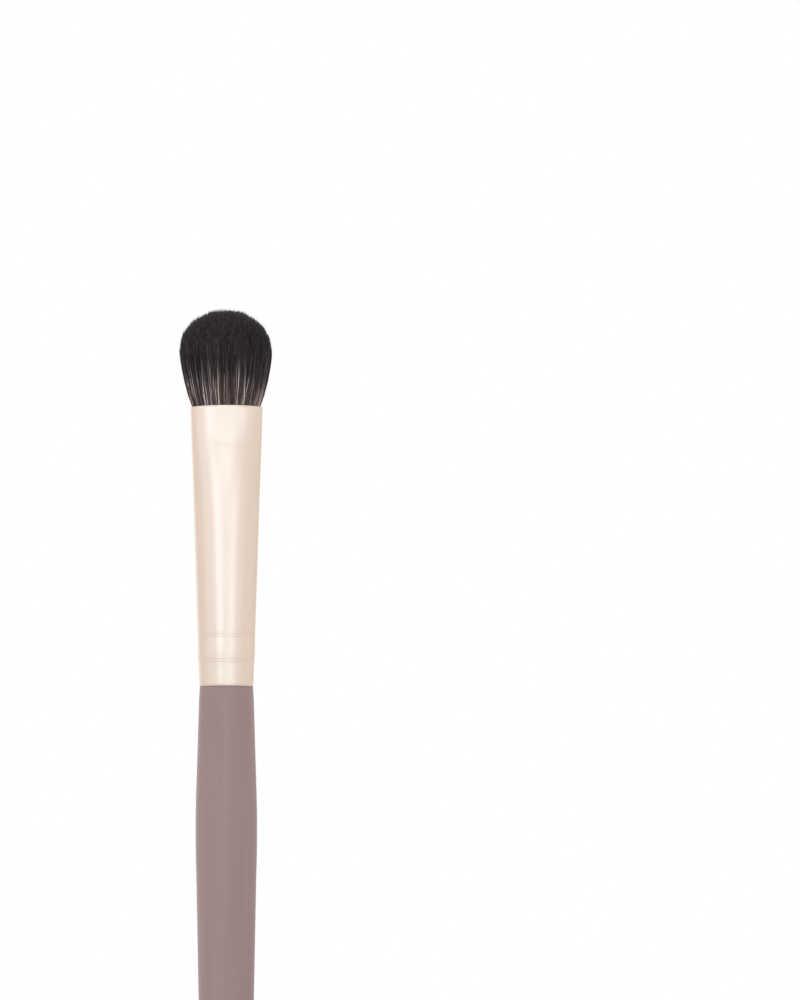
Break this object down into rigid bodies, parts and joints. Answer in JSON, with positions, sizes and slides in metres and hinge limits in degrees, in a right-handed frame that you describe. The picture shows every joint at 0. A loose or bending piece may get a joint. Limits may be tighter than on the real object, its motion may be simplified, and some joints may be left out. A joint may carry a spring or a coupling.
{
  "type": "concealer brush",
  "caption": "Concealer brush with a slanted domed head of dense dark hair, a ferrule pressed from round to oval with two fine double crimps, and a slim turned handle in matte lacquer.",
  "frame": {"origin": "on the brush's own line at the widest point of the handle, where the fingers hold it, 17.85 mm below the ferrule's lower end", "axes": "+Z along the brush towards the hair, +X along the broad way of the oval ferrule, -Y out of the slanted face of the hair, whose long side is at +Y"},
  "size_m": [0.0114, 0.0082, 0.1675],
  "materials": {
    "mauve_lacquer": "matte grey mauve lacquer over turned wood",
    "champagne_metal": "satin pale champagne, fine drawing lines along the tube",
    "cured_glue": "glossy amber",
    "dark_hair": "soft black brown hair, lighter streaks in its lower part",
    "waxed_thread": "matte natural"
  },
  "bodies": {
    "root": {"handle": "mauve_lacquer", "ferrule": "champagne_metal", "glue_plug": "cured_glue", "tuft": "dark_hair", "binding_thread": "waxed_thread"}
  },
  "joints": []
}
